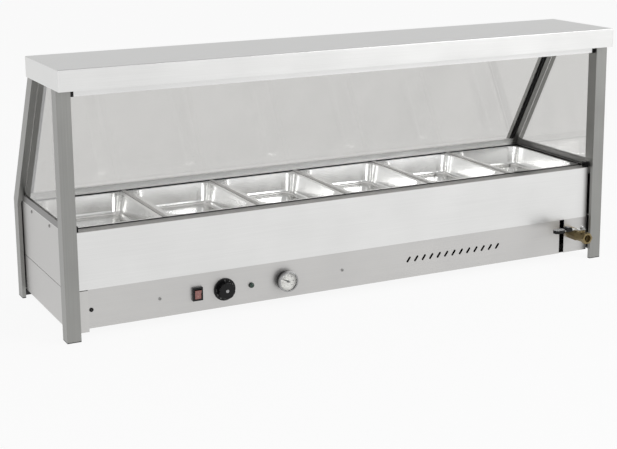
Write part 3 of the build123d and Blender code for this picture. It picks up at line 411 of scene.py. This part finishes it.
def knob_print():
    """Pale figures round the skirt of the thermostat knob, 30 to 110 degrees, with a line for
    off."""
    marks, mark_angle, mark_radius = 10, 30, 27 * MM
    coolest, figure_step = 20, 10            # the line stands in for the coolest figure
    line_width, line_length, figure_height = 1.2 * MM, 6 * MM, 5 * MM
    skirt_thickness = 3.5 * MM
    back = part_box("thermostat_knob")[1][1]
    centre = middle("thermostat_knob")
    skirt = at(centre.x, back - skirt_thickness, centre.z) @ FACING
    shape = bmesh.new()
    for number in range(marks):
        upright = turned(90 - number * mark_angle) @ at(mark_radius, 0, 0) @ turned(-90)
        if number == 0:
            bar(shape, skirt @ upright, line_width, line_length, INK)
        else:
            figure = str(coolest + number * figure_step)
            words(shape, figure, skirt @ upright, figure_height)
    finished("knob_print", shape, knob_ink, "thermostat_dial")


def knob_cap():
    """Small silver cap in the middle of the knob's face."""
    base_radius, face_radius, thickness = 5 * MM, 4.4 * MM, 0.6 * MM
    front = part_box("thermostat_knob")[0][1]
    centre = middle("thermostat_knob")
    place = at(centre.x, front - thickness / 2, centre.z) @ FACING
    shape = bmesh.new()
    bmesh.ops.create_cone(shape, cap_ends=True, segments=48, radius1=base_radius,
                          radius2=face_radius, depth=thickness, matrix=place)
    finished("knob_cap", shape, finishes["bezel_steel"], "thermostat_dial")


def rocker_print():
    """I and O on the two halves of the rocker, in the planes of its dished face."""
    tilt = 8                                 # of the rocker at rest, in degrees
    dish, reach = 2 * MM, 13 * MM            # how deep its face is at the middle, and half its height
    face_out, mark_up, mark_height = 9.5 * MM, 6.5 * MM, 6.5 * MM
    centre = middle("switch_housing")
    panel_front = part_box("control_panel")[0][1]
    pivot = at(centre.x, panel_front, centre.z) @ turned(tilt, "X")
    slope = math.degrees(math.atan2(dish, reach))
    shape = bmesh.new()
    for side, mark in ((1, "I"), (-1, "O")):
        half = at(0, -face_out, side * mark_up) @ turned(side * slope, "X")
        words(shape, mark, pivot @ half @ FACING, mark_height)
    finished("rocker_print", shape, rocker_ink, "rocker")


def screw_recesses():
    """Cross recesses of the panel screws and the corner screw, each turned as it was left, and filled
    dark as painted shade.
    """
    head, slot_length, slot_width, between_turns = 2 * MM, 4.8 * MM, 1 * MM, 25
    control_screws = ((-622 * MM, 81 * MM), (-43 * MM, 83 * MM), (-822 * MM, 80 * MM))
    side_screws = (-40.5 * MM, 140.5 * MM)
    rear_screws = (-700 * MM, 0, 700 * MM)
    lower_rail, upper_rail = 39.4 * MM, 290.6 * MM
    side_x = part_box("side_panels_upper")[1][0] + head
    front_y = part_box("control_panel")[0][1] - head
    rear_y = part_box("rear_panel")[1][1] + head
    seats = [(at(x, front_y, z), FACING) for x, z in control_screws]
    for side in (-1, 1):
        outwards = turned(90 * side) @ FACING
        seats += [(at(side * side_x, y, upper_rail), outwards) for y in side_screws]
    backwards = turned(180) @ FACING
    seats += [(at(x, rear_y, z), backwards) for x in rear_screws for z in (lower_rail, upper_rail)]
    shape = bmesh.new()
    for number, (place, out) in enumerate(seats):
        for quarter in (0, 90):
            turn = turned(quarter + between_turns * number)
            bar(shape, place @ out @ turn, slot_length, slot_width, INK)
    finished("screw_recesses", shape, recess_shade)


def well_seal():
    """Black strip over the gap between the counter's opening and the rims of the pans: painted
    shadow, for the shadow gap under the rims.
    """
    gap_middle, lift = 1.5 * MM, 0.7 * MM    # of the strip's middle, beyond and above the rims
    width, height, joint, rounding = 2.8 * MM, 3 * MM, 0.1 * MM, 0.6 * MM
    low, high = Vector(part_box("pan_1")[0]), Vector(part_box("pan_6")[1])
    centre = (low + high) / 2
    half_x = (high.x - low.x) / 2 + gap_middle
    half_y = (high.y - low.y) / 2 + gap_middle
    level = high.z + lift
    shape = bmesh.new()
    for side in (-1, 1):
        long_run = at(centre.x, centre.y + side * half_y, level)
        bar(shape, long_run, 2 * half_x + width, width, height)
        short_run = at(centre.x + side * half_x, centre.y, level)
        bar(shape, short_run, width, 2 * half_y - width - joint, height)
    round_edges(shape, rounding)
    finished("well_seal", shape, finishes["black_rubber"])


def rail_plugs():
    """Black blocks in the two ends of the light rail under the canopy: painted shade of the dark gap
    there.
    """
    length, depth, height, rounding = 11 * MM, 21.4 * MM, 20.8 * MM, 1 * MM
    inset, drop = 3 * MM, 0.4 * MM           # of a block's middle, inside and below the rail's end
    low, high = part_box("canopy_front_rail")
    shape = bmesh.new()
    for side in (-1, 1):
        end = side * (high[0] - inset)
        place = at(end, (low[1] + high[1]) / 2, (low[2] + high[2]) / 2 - drop)
        bar(shape, place, length, depth, height)
    round_edges(shape, rounding)
    finished("rail_plugs", shape, finishes["black_plastic"])


thermometer_print()
knob_print()
knob_cap()
rocker_print()
screw_recesses()
well_seal()
rail_plugs()


def seen_straight(tree, path):
    """1 for the camera's own rays and those that pass through glass, and 0 for the rest."""
    return add(tree, "ShaderNodeMath", {
        0: path.outputs["Is Camera Ray"], 1: path.outputs["Is Transmission Ray"]},
        operation="MAXIMUM").outputs["Value"]


def studio_world():
    """A white studio: white to the camera and through glass, and to metal a wall that greys
    towards the ceiling."""
    wall_top, ceiling = 0.8, 0.4             # where the greying ends (1 is overhead), and how bright
    world = bpy.data.worlds.new("studio")
    bpy.context.scene.world = world
    world.use_nodes = True
    tree = world.node_tree
    tree.nodes.clear()
    around = add(tree, "ShaderNodeTexCoord").outputs["Generated"]
    up = add(tree, "ShaderNodeSeparateXYZ", {0: around}).outputs["Z"]
    wall = add(tree, "ShaderNodeMapRange", {
        "Value": up, "From Min": 0.0, "From Max": wall_top, "To Min": 1.0, "To Max": ceiling})
    path = add(tree, "ShaderNodeLightPath")
    seen = add(tree, "ShaderNodeMix", {
        "Factor": seen_straight(tree, path), "A": wall.outputs["Result"], "B": 1.0},
        data_type="FLOAT")
    glow = add(tree, "ShaderNodeBackground", {
        "Color": linear("ffffff"), "Strength": seen.outputs["Result"]})
    add(tree, "ShaderNodeOutputWorld", {"Surface": glow.outputs["Background"]})


def pale_floor():
    """The floor: near white to the camera, in metal and through glass, with a trace of the
    cabinet's soft shadow kept."""
    half_width, below_feet = 40.0, 0.5 * MM
    whiteness = 0.9                          # share of its own glow, and the rest is lit paint
    mesh = bmesh.new()
    bmesh.ops.create_grid(mesh, x_segments=1, y_segments=1, size=half_width)
    data = bpy.data.meshes.new("floor")
    mesh.to_mesh(data)
    mesh.free()
    floor = bpy.data.objects.new("floor", data)
    bpy.context.scene.collection.objects.link(floor)
    floor.location.z = -below_feet
    material, tree = new_material("studio_floor")
    path = add(tree, "ShaderNodeLightPath")
    any_view = add(tree, "ShaderNodeMath", {
        0: seen_straight(tree, path), 1: path.outputs["Is Glossy Ray"]}, operation="MAXIMUM")
    share = add(tree, "ShaderNodeMath", {
        0: any_view.outputs["Value"], 1: whiteness}, operation="MULTIPLY")
    paint = add(tree, "ShaderNodeBsdfDiffuse", {"Color": linear("f4f4f4")})
    glow = add(tree, "ShaderNodeEmission", {"Color": linear("ffffff"), "Strength": 1.0})
    both = add(tree, "ShaderNodeMixShader", {
        "Fac": share.outputs["Value"], 1: paint.outputs["BSDF"], 2: glow.outputs["Emission"]})
    add(tree, "ShaderNodeOutputMaterial", {"Surface": both.outputs["Shader"]})
    data.materials.append(material)


def softbox(name, place, aim, size, power):
    """A square area lamp that points at a place on the cabinet."""
    lamp = bpy.data.lights.new(name, "AREA")
    lamp.size = size
    lamp.energy = power
    holder = bpy.data.objects.new(name, lamp)
    bpy.context.scene.collection.objects.link(holder)
    holder.location = place
    holder.rotation_mode = "QUATERNION"
    holder.rotation_quaternion = (Vector(aim) - Vector(place)).to_track_quat("-Z", "Y")


def photo_camera():
    """The photograph's viewpoint: from the front left and a little above, with a long lens."""
    place = (-1.9006, -3.7084, 1.2798)
    yaw, pitch, roll = math.radians(26.431), math.radians(12.298), math.radians(-0.5)
    picture_width, raised_by = 617, 62       # in pixels of the picture
    ahead = Vector((math.sin(yaw) * math.cos(pitch), math.cos(yaw) * math.cos(pitch),
                    -math.sin(pitch)))
    level = Vector((math.cos(yaw), -math.sin(yaw), 0))
    upward = level.cross(ahead)
    right = math.cos(roll) * level + math.sin(roll) * upward
    up = -math.sin(roll) * level + math.cos(roll) * upward
    data = bpy.data.cameras.new("photo_camera")
    data.sensor_width = 36.0
    data.lens = 80.79
    data.shift_y = -raised_by / picture_width
    data.clip_end = 200.0
    camera = bpy.data.objects.new("photo_camera", data)
    bpy.context.scene.collection.objects.link(camera)
    turn = Matrix((right, up, -ahead)).transposed().to_4x4()
    camera.matrix_world = at(*place) @ turn
    bpy.context.scene.camera = camera


studio_world()
pale_floor()
softbox("key_softbox", place=(2.6, -3.4, 2.2), aim=(0.2, 0, 0.4), size=2.2, power=70)
softbox("fill_softbox", place=(-3.4, -2.6, 1.6), aim=(-0.2, 0, 0.4), size=1.8, power=18)
photo_camera()
bpy.context.scene.view_settings.view_transform = "Standard"
